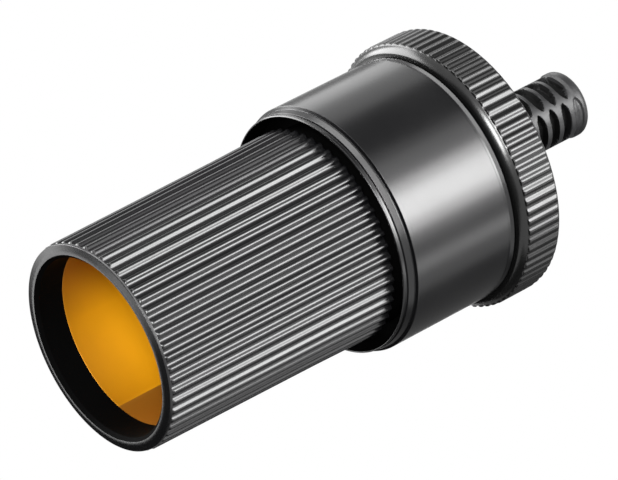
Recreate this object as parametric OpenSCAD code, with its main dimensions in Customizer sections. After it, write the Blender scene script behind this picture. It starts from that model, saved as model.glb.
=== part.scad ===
// In-line 12 V vehicle power socket, standing on its mouth.
// The axis of the socket is Z: the mouth is at z = 0 and the cable leaves at the top.

/* [Plug bore] */
// Bore of the contact sleeve, which takes a standard vehicle plug
plug_bore_d = 21; // [20.9:0.05:21.4]
// Wall of the pressed brass contact sleeve
sleeve_wall = 0.4; // [0.3:0.05:0.5]
// Distance from the mouth to the front edge of the contact sleeve
sleeve_setback = 3.6; // [2.5:0.1:5]
// Distance from the mouth to the floor of the contact sleeve
bore_depth = 38; // [37:0.25:39]
// How much wider the moulded lip is than the sleeve's bore, on the radius
lip_relief = 0.1; // [0.05:0.05:0.2]
// Bevel on the inner edge of the lip
lip_bevel = 0.45; // [0.3:0.05:0.6]
// Rounding on the outer edge of the lip
lip_round = 0.2; // [0.1:0.05:0.3]

/* [Ribbed barrel] */
// Wall of the barrel at the bottom of the grooves, at the mouth
barrel_wall = 0.95; // [0.8:0.05:1.1]
// Draft of the ribs and grooves, in degrees
barrel_draft = 0.55; // [0.3:0.05:0.7]
// Number of grip ribs
rib_count = 56; // [50:1:64]
// Height of a rib above the groove
rib_height = 0.36; // [0.3:0.02:0.5]
// Width of a rib's crest
rib_crest = 0.3; // [0.2:0.05:0.45]
// Plain band between the mouth and the grooves
lip_band = 0.45; // [0.3:0.05:0.7]
// Length of the plain tail that sits inside the housing
tail_len = 7.8; // [7:0.1:9]
// Wall of the plain tail
tail_wall = 1.05; // [0.9:0.05:1.15]
// Height of the snap bead round the tail
snap_height = 0.2; // [0.1:0.05:0.3]
// Distance from the snap bead to the end of the tail
bead_back = 2.45; // [2:0.05:3]

/* [Rear housing] */
// Play between the rear end of the ribs and the housing's front rim
rim_clearance = 0.15; // [0.1:0.05:0.5]
// Wall of the open front rim, round the ribs
rim_wall = 0.72; // [0.6:0.02:1]
// Length of the rounded nose of the front rim
rim_nose = 1.7; // [1:0.1:2]
// Depth of the open gap behind the front rim
rim_gap_depth = 3.2; // [2:0.1:4]
// Rounding of the housing's rear edge
rear_round = 0.5; // [0.3:0.05:0.7]
// How much narrower the wiring chamber is than the barrel's seat, on the radius
chamber_step = 0.25; // [0.2:0.05:0.4]
// Thickness of the ledge between barrel and chamber
ledge_t = 1.5; // [1.2:0.1:1.8]
// Width of the ledge
ledge_width = 3; // [2.8:0.1:3.2]
// Room over the terminal screws, up to the housing's rear edge
screw_headroom = 1.3; // [0.8:0.1:2]
// Ledge under the gland plate, on the radius
gland_step = 0.5; // [0.3:0.05:0.7]
// Wall of the threaded spigot, over its thread
spigot_wall = 1.3; // [1.2:0.05:1.6]
// Distance from the housing's rear edge to the end of the spigot
spigot_len = 4.1; // [3.8:0.1:4.4]
// Depth of the gland seat in the spigot
gland_seat_depth = 3; // [2.6:0.1:3.2]
// Shoulder round the spigot, which carries the gasket
spigot_shoulder = 1.12; // [1:0.02:1.4]

/* [Cap nut] */
// Wall of the cap at the bottom of the knurl
cap_wall = 2.13; // [1.8:0.01:2.4]
// Wall of the cap's front edge, beside the gasket
cap_nose_wall = 1.22; // [1:0.02:1.5]
// Distance from the cap's ceiling to the rear end of the knurl
knurl_rise = 0.84; // [0.4:0.01:1.2]
// Number of knurl ridges
knurl_count = 81; // [72:1:96]
// Depth of the knurl grooves
knurl_depth = 0.24; // [0.15:0.01:0.4]
// Length of the smooth rounded shoulder in front of the knurl
shoulder_len = 0.8; // [0.6:0.05:1]
// Chamfer in front of the knurl
knurl_chamfer = 0.25; // [0.15:0.05:0.35]
// Rounding behind the knurl
cap_rear_round = 0.5; // [0.3:0.05:0.8]
// Height of the cap's domed rear face
cap_dome = 1.48; // [1.2:0.01:2]
// Wall of the collar round the boot, on the rear face
cap_collar_wall = 2.05; // [1.5:0.05:2.5]
// Radial play of the cap's thread on the spigot
thread_play = 0.08; // [0.05:0.01:0.1]
// Radial play of the boot in the cap's hole
boot_play = 0.15; // [0.1:0.05:0.3]

/* [Strain relief boot] */
// Bore for the cable
cable_bore_d = 5.5; // [4.5:0.1:5.6]
// Wall of the boot's plain neck
boot_neck_wall = 1.25; // [1.1:0.05:1.4]
// Wall of the slotted part
boot_waist_wall = 1.05; // [0.95:0.05:1.15]
// Wall of the end ring
boot_ring_wall = 1.2; // [1.1:0.05:1.35]
// Length of the boot behind the cap
boot_len = 14.67; // [12.7:0.01:18]
// Distance from one slot of a column to the next
slot_pitch = 1.84; // [1.7:0.01:2.1]
// Width of a slot at its middle
slot_w = 1.1; // [0.8:0.05:1.2]
// Columns of slots round the boot, neighbours staggered by half a pitch
slot_columns = 4; // [4:2:6]
// Angle of the web between the tips of neighbouring slots
slot_web_angle = 3; // [2:1:10]
// Wall left inside the slots
slot_floor = 0.3; // [0.2:0.05:0.4]
// Thickness of the boot's flange
boot_flange_t = 1.15; // [0.9:0.05:1.3]
// Diameter of the boot's flange
boot_flange_d = 18; // [16:0.5:20]

/* [Cable gland] */
// Thickness of the gland plate
gland_plate_t = 1.5; // [1.2:0.1:1.6]
// Thickness of the grip fingers at their tips
finger_t = 0.6; // [0.5:0.05:0.9]
// Thickness of the grip collet's collar
collet_collar_t = 0.9; // [0.7:0.05:1]
// Diameter of the grip collet's collar
collet_collar_d = 12; // [11:0.5:14]
// Width of the slots between the grip fingers
collet_slot_w = 0.6; // [0.4:0.1:0.8]
// Thickness of the fibre washer between boot and cap
thrust_washer_t = 0.4; // [0.3:0.05:0.5]
// Thickness of the rubber gasket between housing and cap
gasket_t = 0.4; // [0.3:0.05:0.5]

/* [Contacts] */
// Thickness of the sleeve's floor
floor_t = 0.5; // [0.4:0.05:0.6]
// Width of the drawn corner between the sleeve's wall and its floor
cup_corner_w = 1.6; // [1.2:0.1:1.8]
// Height of that corner
cup_corner_h = 2.9; // [2.8:0.1:3.2]
// Diameter of the stud
stud_d = 3; // [2.8:0.1:3.2]
// Diameter of the centre contact's domed head
contact_head_d = 8; // [7:0.2:9]
// Height of the domed head
contact_head_h = 1.5; // [1.2:0.1:1.8]
// Thickness of the insulating bush's flange
bush_flange_t = 1.1; // [0.9:0.1:1.4]
// Wall of the insulating bush's hub
bush_hub_wall = 1.4; // [1.2:0.1:1.5]
// Thickness of the terminal base's disc
base_t = 2; // [1.8:0.1:2.2]
// Thickness of the terminal strips
strip_t = 0.8; // [0.6:0.05:0.9]
// Distance from the chamber's wall to each terminal screw
terminal_inset = 4.3; // [4.2:0.05:4.6]
// Gap between the two terminal strips
terminal_gap = 1.3; // [1.1:0.05:1.5]
// Diameter of the terminal screws
terminal_screw_d = 3; // [2.8:0.1:3.2]
// Head diameter of the terminal screws
terminal_head_d = 5; // [4.8:0.1:5.2]
// Head height of the terminal screws
terminal_head_h = 1.6; // [1.4:0.1:1.8]
// Thickness of the clamp plates
clamp_t = 0.8; // [0.6:0.05:1]
// Across flats of the stud's nut
nut_af = 5.5; // [5.3:0.1:5.7]
// Height of the stud's nut
nut_h = 2.4; // [2:0.1:2.5]
// Diameter of the base screws
base_screw_d = 1.6; // [1.4:0.1:1.7]
// Head diameter of the base screws
base_head_d = 3; // [2.8:0.1:3.1]

/* [Fits] */
// Radial play between parts that push together
push_fit = 0.05; // [0.03:0.01:0.08]
// Play round screws and the stud in their clearance holes
screw_play = 0.1; // [0.08:0.02:0.15]
// Gap between the cap and what it closes on
seat_gap = 0.03; // [0.02:0.01:0.05]

/* [Hidden] */
$fn = 96;
cut = 0.5;
edge = 0.3;
hair = 0.05;

// Radii that follow from the bore outwards
bore_r = plug_bore_d / 2;
sleeve_r = bore_r + sleeve_wall;
barrel_bore_r = sleeve_r + push_fit;
lip_bore_r = bore_r + lip_relief;
root_front_r = barrel_bore_r + barrel_wall;
lip_r = root_front_r + rib_height * 2 / 3;
crest_front_r = root_front_r + rib_height;
tail_r = barrel_bore_r + tail_wall;
seat_r = tail_r + push_fit;
chamber_r = seat_r - chamber_step;
ledge_r = chamber_r - ledge_width;
gland_seat_r = chamber_r + gland_step;
spigot_r = gland_seat_r + spigot_wall;
housing_r = spigot_r + spigot_shoulder;
rim_bore_r = housing_r - rim_wall;
cap_bore_r = spigot_r + thread_play;
knurl_root_r = cap_bore_r + cap_wall;
cap_r = knurl_root_r + knurl_depth;

// Radii round the cable
cable_r = cable_bore_d / 2;
boot_neck_r = cable_r + boot_neck_wall;
boot_waist_r = cable_r + boot_waist_wall;
boot_ring_r = cable_r + boot_ring_wall;
cap_hole_r = boot_neck_r + boot_play;
cap_collar_r = cap_hole_r + cap_collar_wall;
gland_hole_r = cable_r + finger_t + hair;

// Heights along the axis, from the mouth
floor_back = bore_depth + floor_t;
tail_end = floor_back + 0.4;
bead_z = tail_end - bead_back;
rib_end = tail_end - tail_len;
crest_rear_r = crest_front_r + (rib_end - lip_band) * tan(barrel_draft);
housing_front = rib_end + rim_clearance;
rim_gap_end = housing_front + rim_gap_depth;
ledge_back = tail_end + ledge_t;
base_top = ledge_back + base_t;
strip_top = base_top + strip_t;
clamp_top = strip_top + clamp_t;
housing_rear = clamp_top + terminal_head_h + screw_headroom;
spigot_end = housing_rear + spigot_len;
gland_seat_z = spigot_end - gland_seat_depth;
gland_plate_top = gland_seat_z + gland_plate_t;
collet_top = gland_plate_top + collet_collar_t;
boot_start = collet_top + seat_gap;
flange_top = boot_start + boot_flange_t;
washer_top = flange_top + thrust_washer_t;
cap_ceiling = washer_top + seat_gap;
cap_front = housing_rear + gasket_t + seat_gap;
knurl_front = cap_front + shoulder_len;
knurl_rear = cap_ceiling + knurl_rise;
cap_top = knurl_rear + cap_dome;
boot_end = cap_top + boot_len;

// Terminal strips, their screws, the rivet and the stud's washer
washer_t = 0.5;
washer_r = 3;
terminal_x = chamber_r - terminal_inset;
strip_w = terminal_x - terminal_gap;
clamp_side = strip_w - 0.6;
strip_end_x = terminal_x + clamp_side / 2 + screw_play;
strip_inner_x = terminal_x - strip_w / 2;
foot_x = strip_inner_x + strip_t;
foot_t = 0.6;
recess_gap = 0.2;
pocket_depth = 1.6;
foot_end_x = ledge_r - 2 * recess_gap;
rivet_r = 0.8;
rivet_head_r = 1.3;
rivet_head_h = 0.45;
rivet_x = foot_end_x - rivet_head_r;
bush_flange_r = rivet_x - rivet_head_r - 2 * recess_gap;
base_screw_y = chamber_r - base_head_d / 2 - edge;

// Cone of the cable gland
collet_rise = 0.15;
collet_top_r = gland_hole_r + gland_plate_t * 0.8;

// Points of an arc from angle a to angle b about centre c, with its own width and height
function arc(c, rx, rz, a, b, steps = 8) =
  [for (i = [0 : steps]) let (t = a + (b - a) * i / steps) [c[0] + rx * cos(t), c[1] + rz * sin(t)]];

// A plain ring between two heights
module ring(outer_r, inner_r, z0, z1) {
  translate([0, 0, z0])
    difference() {
      cylinder(r = outer_r, h = z1 - z0);
      translate([0, 0, -cut])
        cylinder(r = inner_r, h = z1 - z0 + 2 * cut);
    }
}

// Outline of the barrel before the grooves are cut, from the mouth to the tail
module barrel_outline() {
  rib_front = lip_band + rib_height;
  polygon(concat(
    [[lip_bore_r + lip_bevel, 0], [lip_r - lip_round, 0]],
    arc([lip_r - lip_round, lip_round], lip_round, lip_round, -90, 0),
    [
      [lip_r, lip_band],
      [crest_front_r, rib_front],
      [crest_rear_r, rib_end - rib_height],
      [tail_r + hair, rib_end],
      [tail_r, rib_end + hair],
      [tail_r, bead_z - snap_height],
      [tail_r + snap_height, bead_z],
      [tail_r, bead_z + 2 * snap_height],
      [tail_r, tail_end - edge],
      [tail_r - edge, tail_end],
      [barrel_bore_r, tail_end],
      [barrel_bore_r, sleeve_setback],
      [lip_bore_r, sleeve_setback],
      [lip_bore_r, lip_bevel]
    ]
  ));
}

// One grip groove, leaning outwards with the draft
module barrel_groove() {
  pitch = 2 * PI * crest_front_r / rib_count;
  half_top = (pitch - rib_crest) / 2;
  half_root = half_top / 4;
  reach = rib_height + cut;
  flare = (half_top - half_root) / rib_height;
  translate([root_front_r, 0, lip_band])
    rotate([0, barrel_draft, 0])
      linear_extrude(height = rib_end - lip_band + cut)
        polygon([
          [0, -half_root],
          [reach, -half_root - flare * reach],
          [reach, half_root + flare * reach],
          [0, half_root]
        ]);
}

module front_barrel() {
  color([0.10, 0.10, 0.11])
    difference() {
      rotate_extrude() barrel_outline();
      for (i = [0 : rib_count - 1])
        rotate([0, 0, (i + 0.5) * 360 / rib_count])
          barrel_groove();
    }
}

// Smooth housing: open front rim, seat for the barrel, wiring chamber and threaded spigot
module rear_housing() {
  nose_r = rim_bore_r + edge;
  color([0.08, 0.08, 0.09])
    difference() {
      rotate_extrude()
        polygon(concat(
          [[rim_bore_r, housing_front + edge], [nose_r, housing_front]],
          arc([nose_r, housing_front + rim_nose], housing_r - nose_r, rim_nose, -90, 0),
          arc([housing_r - rear_round, housing_rear - rear_round], rear_round, rear_round, 0, 90),
          [
            [spigot_r, housing_rear],
            [spigot_r, spigot_end - edge],
            [spigot_r - edge, spigot_end],
            [gland_seat_r, spigot_end],
            [gland_seat_r, gland_seat_z],
            [chamber_r, gland_seat_z],
            [chamber_r, ledge_back],
            [ledge_r, ledge_back],
            [ledge_r, tail_end],
            [seat_r, tail_end],
            [seat_r, bead_z + 2 * snap_height],
            [seat_r + snap_height, bead_z],
            [seat_r, bead_z - snap_height],
            [seat_r, rim_gap_end],
            [rim_bore_r, rim_gap_end]
          ]
        ));
      for (side = [-1, 1])
        translate([0, side * base_screw_y, tail_end - cut])
          cylinder(d = base_screw_d, h = ledge_t + 2 * cut);
    }
}

// Pressed brass cup: the negative contact
module contact_sleeve() {
  hub_r = stud_d / 2 + screw_play + bush_hub_wall;
  corner = [bore_r - cup_corner_w, bore_depth - cup_corner_h];
  color([0.88, 0.62, 0.18])
    difference() {
      rotate_extrude()
        polygon(concat(
          [[bore_r, sleeve_setback], [sleeve_r, sleeve_setback]],
          arc(corner, cup_corner_w + sleeve_wall, cup_corner_h + floor_t, 0, 90),
          [[hub_r + push_fit, floor_back], [hub_r + push_fit, bore_depth]],
          arc(corner, cup_corner_w, cup_corner_h, 90, 0)
        ));
      translate([-rivet_x, 0, bore_depth - cut])
        cylinder(r = rivet_r + push_fit, h = floor_t + 2 * cut);
    }
}

// Shouldered bush that keeps the centre contact off the brass cup
module contact_bush() {
  hole_r = stud_d / 2 + screw_play;
  color([0.55, 0.30, 0.14])
    difference() {
      union() {
        translate([0, 0, bore_depth - bush_flange_t])
          cylinder(r = bush_flange_r, h = bush_flange_t);
        translate([0, 0, bore_depth - cut])
          cylinder(r = hole_r + bush_hub_wall, h = floor_t + cut);
      }
      translate([0, 0, bore_depth - bush_flange_t - cut])
        cylinder(r = hole_r, h = bush_flange_t + floor_t + 2 * cut);
    }
}

// Moulded disc that closes the chamber behind the cup and carries the terminals
module terminal_base() {
  hole_r = stud_d / 2 + screw_play;
  boss_r = ledge_r - push_fit;
  pocket_r = terminal_screw_d / 2 + screw_play;
  foot_space = foot_t + rivet_head_h + recess_gap;
  color([0.42, 0.24, 0.12])
    difference() {
      union() {
        translate([0, 0, floor_back])
          cylinder(r = boss_r, h = ledge_back - floor_back);
        translate([0, 0, ledge_back])
          cylinder(r = chamber_r - push_fit, h = base_t);
      }
      translate([0, 0, floor_back - cut])
        cylinder(r = hole_r, h = base_top - floor_back + 2 * cut);
      for (side = [-1, 1]) {
        translate([side * terminal_x, 0, base_top - pocket_depth])
          cylinder(r = pocket_r, h = pocket_depth + cut);
        translate([0, side * base_screw_y, ledge_back - cut])
          cylinder(r = base_screw_d / 2 + screw_play, h = base_t + 2 * cut);
      }
      translate([-boss_r - cut, -strip_w / 2 - recess_gap, floor_back - cut])
        cube([boss_r + cut - strip_inner_x + recess_gap, strip_w + 2 * recess_gap, foot_space + cut]);
      translate([-foot_x - recess_gap, -strip_w / 2 - recess_gap, floor_back - cut])
        cube([strip_t + 2 * recess_gap, strip_w + 2 * recess_gap, base_top - floor_back + 2 * cut]);
    }
}

// Two screws that hold the terminal base to the ledge
module base_screws() {
  head_h = 1.1;
  slot_width = 0.5;
  slot_depth = 0.5;
  color([0.75, 0.75, 0.74])
    for (side = [-1, 1])
      translate([0, side * base_screw_y, 0])
        difference() {
          union() {
            translate([0, 0, tail_end + screw_play])
              cylinder(d = base_screw_d, h = base_top - tail_end);
            translate([0, 0, base_top])
              cylinder(d = base_head_d, h = head_h);
          }
          translate([0, 0, base_top + head_h])
            cube([base_head_d + cut, slot_width, 2 * slot_depth], center = true);
        }
}

// Centre contact: domed head in the cup and a stud through to the chamber
module centre_contact() {
  head_z = bore_depth - bush_flange_t;
  head_r = contact_head_d / 2;
  stud_end = strip_top + washer_t + nut_h + cut;
  color([0.88, 0.62, 0.18])
    rotate_extrude()
      polygon(concat(
        [[0, head_z - contact_head_h]],
        arc([0, head_z], head_r, contact_head_h, -80, 0),
        [
          [stud_d / 2, head_z],
          [stud_d / 2, stud_end - edge],
          [stud_d / 2 - edge, stud_end],
          [0, stud_end]
        ]
      ));
}

module stud_washer() {
  color([0.78, 0.78, 0.76])
    ring(washer_r, stud_d / 2 + screw_play, strip_top, strip_top + washer_t);
}

module stud_nut() {
  color([0.78, 0.78, 0.76])
    translate([0, 0, strip_top + washer_t])
      difference() {
        cylinder(d = nut_af / cos(30), h = nut_h, $fn = 6);
        translate([0, 0, -cut])
          cylinder(r = stud_d / 2 + seat_gap, h = nut_h + 2 * cut);
      }
}

// A terminal strip's flat tab on the base, with the hole for its screw
module strip_tab(x0, x1, hole_x, hole_r) {
  difference() {
    translate([x0, -strip_w / 2, base_top])
      cube([x1 - x0, strip_w, strip_t]);
    translate([hole_x, 0, base_top - cut])
      cylinder(r = hole_r, h = strip_t + 2 * cut);
  }
}

// Strip from the stud to the positive screw
module positive_terminal() {
  color([0.86, 0.66, 0.28])
    difference() {
      union() {
        strip_tab(0, strip_end_x, terminal_x, terminal_screw_d / 2 + seat_gap);
        translate([0, 0, base_top])
          cylinder(d = strip_w, h = strip_t);
      }
      translate([0, 0, base_top - cut])
        cylinder(r = stud_d / 2 + screw_play, h = strip_t + 2 * cut);
    }
}

// Folded strip from the cup's floor, up through the base, to the negative screw
module negative_terminal() {
  color([0.86, 0.66, 0.28]) {
    difference() {
      union() {
        strip_tab(-strip_end_x, -strip_inner_x, -terminal_x, terminal_screw_d / 2 + seat_gap);
        translate([-foot_x, -strip_w / 2, floor_back])
          cube([strip_t, strip_w, base_top - floor_back + strip_t]);
        translate([-foot_end_x, -strip_w / 2, floor_back])
          intersection() {
            cube([foot_end_x - strip_inner_x, strip_w, foot_t]);
            translate([foot_end_x, strip_w / 2, 0])
              cylinder(r = foot_end_x, h = foot_t);
          }
      }
      translate([-rivet_x, 0, floor_back - cut])
        cylinder(r = rivet_r + push_fit, h = foot_t + 2 * cut);
    }
  }
}

// Rivet that ties the negative strip to the cup's floor
module negative_rivet() {
  color([0.80, 0.60, 0.25]) {
    translate([-rivet_x, 0, bore_depth])
      cylinder(r = rivet_r, h = floor_t + foot_t);
    translate([-rivet_x, 0, bore_depth - rivet_head_h])
      cylinder(r1 = rivet_r, r2 = rivet_head_r, h = rivet_head_h);
    translate([-rivet_x, 0, floor_back + foot_t])
      cylinder(r1 = rivet_head_r, r2 = rivet_r, h = rivet_head_h);
  }
}

// Square clamp plate that presses the wire on its strip
module clamp_plate(x) {
  translate([x, 0, strip_top])
    difference() {
      translate([-clamp_side / 2, -clamp_side / 2, 0])
        cube([clamp_side, clamp_side, clamp_t]);
      translate([0, 0, -cut])
        cylinder(r = terminal_screw_d / 2 + screw_play, h = clamp_t + 2 * cut);
    }
}

// Pan head screw with a single slot
module terminal_screw(x) {
  shank_end = base_top - pocket_depth + edge;
  head_top = clamp_top + terminal_head_h;
  head_round = 0.7;
  slot_width = 0.8;
  slot_depth = 0.8;
  translate([x, 0, 0])
    difference() {
      union() {
        translate([0, 0, shank_end])
          cylinder(d = terminal_screw_d, h = clamp_top - shank_end);
        rotate_extrude()
          polygon(concat(
            [[0, clamp_top], [terminal_head_d / 2, clamp_top]],
            arc([terminal_head_d / 2 - head_round, head_top - head_round], head_round, head_round, 0, 90),
            [[0, head_top]]
          ));
      }
      translate([0, 0, head_top])
        cube([terminal_head_d + cut, slot_width, 2 * slot_depth], center = true);
    }
}

module positive_clamp() {
  color([0.78, 0.78, 0.76]) clamp_plate(terminal_x);
}

module positive_screw() {
  color([0.82, 0.82, 0.80]) terminal_screw(terminal_x);
}

module negative_clamp() {
  color([0.78, 0.78, 0.76]) clamp_plate(-terminal_x);
}

module negative_screw() {
  color([0.82, 0.82, 0.80]) terminal_screw(-terminal_x);
}

// Plate in the spigot, with the cone that closes the grip fingers
module gland_plate() {
  color([0.13, 0.13, 0.14])
    difference() {
      translate([0, 0, gland_seat_z])
        cylinder(r = gland_seat_r - push_fit, h = gland_plate_t);
      translate([0, 0, gland_seat_z])
        cylinder(r1 = gland_hole_r, r2 = collet_top_r, h = gland_plate_t);
      translate([0, 0, gland_seat_z - cut])
        cylinder(r = gland_hole_r, h = gland_plate_t + cut);
    }
}

// Split collet that grips the cable
module grip_collet() {
  tip_z = gland_seat_z + collet_rise;
  tip_r = gland_hole_r - hair;
  color([0.75, 0.74, 0.70])
    difference() {
      rotate_extrude()
        polygon([
          [cable_r, tip_z],
          [tip_r, tip_z],
          [collet_top_r - collet_rise, gland_plate_top],
          [collet_collar_d / 2, gland_plate_top],
          [collet_collar_d / 2, collet_top],
          [cable_r, collet_top]
        ]);
      for (i = [0 : 3])
        rotate([0, 0, 45 + 90 * i])
          translate([0, -collet_slot_w / 2, tip_z - cut])
            cube([collet_top_r + cut, collet_slot_w, gland_plate_top - tip_z + cut]);
    }
}

// Rubber ring in the groove between housing and cap
module cap_gasket() {
  color([0.05, 0.05, 0.05])
    ring(housing_r - rear_round - screw_play, spigot_r + push_fit, housing_rear, housing_rear + gasket_t);
}

module thrust_washer() {
  color([0.45, 0.20, 0.12])
    ring(boot_flange_d / 2 - cut, boot_neck_r + push_fit, flange_top, washer_top);
}

// Half outline of the boot: flange, neck, waist and rounded end ring
module boot_outline() {
  end_round = 0.7;
  ring_h = 1.2;
  ring_rise = 0.5;
  neck_end = cap_top + 0.9;
  waist_start = cap_top + 2.4;
  polygon(concat(
    [
      [cable_r, boot_start],
      [boot_flange_d / 2, boot_start],
      [boot_flange_d / 2, flange_top],
      [boot_neck_r, flange_top],
      [boot_neck_r, neck_end],
      [boot_waist_r, waist_start],
      [boot_waist_r, boot_end - ring_h - ring_rise],
      [boot_ring_r, boot_end - ring_h]
    ],
    arc([boot_ring_r - end_round, boot_end - end_round], end_round, end_round, 0, 90),
    [[cable_r + edge, boot_end], [cable_r, boot_end - edge]]
  ));
}

// Slot outline seen from the side, pointed at both ends
module slot_outline() {
  half_angle = 180 / slot_columns - slot_web_angle / 2;
  reach = boot_waist_r * sin(half_angle);
  belly = reach * 0.35;
  shoulder = reach * 0.75;
  half_w = slot_w / 2;
  shoulder_w = half_w * 0.54;
  polygon([
    [0, -reach],
    [shoulder_w, -shoulder],
    [half_w, -belly],
    [half_w, belly],
    [shoulder_w, shoulder],
    [0, reach],
    [-shoulder_w, shoulder],
    [-half_w, belly],
    [-half_w, -belly],
    [-shoulder_w, -shoulder]
  ]);
}

// Flexible bend relief with staggered pointed slots
module strain_relief_boot() {
  last_slot = boot_end - 1.45;
  first_slot = cap_top + 1.6;
  slot_rows = floor((last_slot - first_slot) / slot_pitch) + 1;
  floor_r = cable_r + slot_floor;
  color([0.09, 0.09, 0.09])
    difference() {
      rotate_extrude() boot_outline();
      difference() {
        for (c = [0 : slot_columns - 1], j = [0 : slot_rows - 1])
          rotate([0, 0, -90 + (c + 0.5) * 360 / slot_columns])
            translate([0, 0, last_slot - slot_pitch * (j + (c % 2) / 2)])
              rotate([0, 90, 0])
                linear_extrude(height = 2 * boot_neck_r)
                  slot_outline();
        translate([0, 0, cap_top])
          cylinder(r = floor_r, h = boot_end - cap_top);
      }
    }
}

// Half outline of the cap nut before the knurl is cut
module cap_outline() {
  nose_r = cap_bore_r + cap_nose_wall;
  shoulder_r = knurl_root_r + hair;
  mouth_bevel = 0.2;
  collar_h = 0.8;
  collar_fillet = 0.5;
  polygon(concat(
    [[cap_bore_r + mouth_bevel, cap_front], [nose_r, cap_front]],
    arc([nose_r, knurl_front], shoulder_r - nose_r, knurl_front - cap_front, -90, 0),
    [[cap_r, knurl_front + knurl_chamfer]],
    arc([cap_r - cap_rear_round, knurl_rear - cap_rear_round], cap_rear_round, cap_rear_round, 0, 90, 3),
    [
      [cap_collar_r + collar_fillet, cap_top - collar_h],
      [cap_collar_r, cap_top - collar_h + collar_fillet],
      [cap_collar_r, cap_top - edge],
      [cap_collar_r - edge, cap_top],
      [cap_hole_r, cap_top],
      [cap_hole_r, cap_ceiling],
      [cap_bore_r, cap_ceiling],
      [cap_bore_r, cap_front + mouth_bevel]
    ]
  ));
}

// One knurl groove
module knurl_groove() {
  pitch = 2 * PI * cap_r / knurl_count;
  half_top = pitch * 0.42;
  half_root = pitch * 0.1;
  reach = knurl_depth + cut;
  flare = (half_top - half_root) / knurl_depth;
  translate([knurl_root_r, 0, knurl_front + 2 * hair])
    linear_extrude(height = knurl_rear - knurl_front + cut)
      polygon([
        [0, -half_root],
        [reach, -half_root - flare * reach],
        [reach, half_root + flare * reach],
        [0, half_root]
      ]);
}

module cap_nut() {
  color([0.10, 0.10, 0.10])
    difference() {
      rotate_extrude() cap_outline();
      for (i = [0 : knurl_count - 1])
        rotate([0, 0, (i + 0.5) * 360 / knurl_count])
          knurl_groove();
    }
}

front_barrel();
rear_housing();
contact_sleeve();
contact_bush();
terminal_base();
base_screws();
centre_contact();
stud_washer();
stud_nut();
positive_terminal();
positive_clamp();
positive_screw();
negative_terminal();
negative_rivet();
negative_clamp();
negative_screw();
gland_plate();
grip_collet();
cap_gasket();
thrust_washer();
strain_relief_boot();
cap_nut();
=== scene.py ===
import bpy
import bmesh
from math import ceil, cos, degrees, hypot, pi, radians, sin, tan
from mathutils import Matrix, Vector


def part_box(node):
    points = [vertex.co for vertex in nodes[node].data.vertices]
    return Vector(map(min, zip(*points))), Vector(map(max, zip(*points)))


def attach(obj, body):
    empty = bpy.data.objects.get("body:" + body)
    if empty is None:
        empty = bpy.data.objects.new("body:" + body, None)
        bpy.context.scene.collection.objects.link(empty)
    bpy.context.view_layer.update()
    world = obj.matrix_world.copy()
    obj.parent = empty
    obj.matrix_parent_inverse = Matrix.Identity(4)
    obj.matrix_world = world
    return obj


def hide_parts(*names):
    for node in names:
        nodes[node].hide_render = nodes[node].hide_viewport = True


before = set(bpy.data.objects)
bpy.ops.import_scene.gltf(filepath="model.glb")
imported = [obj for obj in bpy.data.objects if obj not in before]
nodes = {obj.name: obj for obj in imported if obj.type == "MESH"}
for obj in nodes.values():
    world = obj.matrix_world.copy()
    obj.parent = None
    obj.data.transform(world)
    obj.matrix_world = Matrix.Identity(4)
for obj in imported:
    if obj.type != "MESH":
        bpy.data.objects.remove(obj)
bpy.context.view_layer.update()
scene = bpy.context.scene
scene.view_settings.view_transform = "Standard"
print("frame loaded:", len(nodes), "nodes")


# the pieces' lengths are millimetres, and their meshes are scaled to metres once;
# lamps, cards, floor and camera are in metres
def heightsOf(node):
    low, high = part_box(node)
    return low.z * 1000, high.z * 1000


def toLinear(hexColour):
    channels = [int(hexColour[i:i + 2], 16) / 255 for i in (1, 3, 5)]
    return [c / 12.92 if c <= 0.04045 else ((c + 0.055) / 1.055) ** 2.4 for c in channels] + [1]


def addNode(tree, kind, settings=None, links=None):
    # links: input name or index -> output socket
    node = tree.nodes.new(kind)
    for key, value in (settings or {}).items():
        if isinstance(key, int) or key in node.inputs:
            node.inputs[key].default_value = value
        else:
            setattr(node, key, value)
    for key, source in (links or {}).items():
        tree.links.new(source, node.inputs[key])
    return node


# mesh helpers

def arcPoints(centre, rx, rz, start, end, steps=6):
    turn = [radians(start + (end - start) * i / steps) for i in range(steps + 1)]
    return [(centre[0] + rx * cos(t), centre[1] + rz * sin(t)) for t in turn]


def roundedProfile(corners, hold=0.08, turnPerStep=16):
    # corners: (radius, height[, rounding[, cuts of the edge that starts here]]); both ends stay sharp
    corners = [tuple(c) + (0, 1)[len(c) - 2:] for c in corners]
    outline = []
    for i, (r, z, rounding, cuts) in enumerate(corners):
        here = Vector((r, z))
        if not rounding or i in (0, len(corners) - 1):
            outline.append((here, cuts))
            continue
        toLast = Vector(corners[i - 1][:2]) - here
        toNext = Vector(corners[i + 1][:2]) - here
        lastLength, nextLength = toLast.length, toNext.length
        toLast, toNext = toLast.normalized(), toNext.normalized()
        halfAngle = toLast.angle(toNext) / 2
        # a rounding takes a little less than half of an edge, so that two of them never meet
        reach = min(rounding / tan(halfAngle), 0.48 * min(lastLength, nextLength))
        steps = max(2, ceil(degrees(pi - 2 * halfAngle) / turnPerStep))
        first, last = here + toLast * reach, here + toNext * reach
        # a narrow face on both sides of the rounding keeps the shading of the flats even
        outline.append((first + toLast * min(hold, 0.25 * (lastLength - reach)), 1))
        for k in range(steps + 1):
            t = k / steps
            outline.append((first * (1 - t) ** 2 + here * 2 * t * (1 - t) + last * t ** 2, 1))
        outline.append((last + toNext * min(hold, 0.25 * (nextLength - reach)), cuts))
    points = []
    for i, (p, cuts) in enumerate(outline):
        following = outline[min(i + 1, len(outline) - 1)][0]
        cuts = cuts if i + 1 < len(outline) else 1
        points += [p.lerp(following, k / cuts) for k in range(cuts)]
    return [(p.x, p.y) for p in points]


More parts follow.
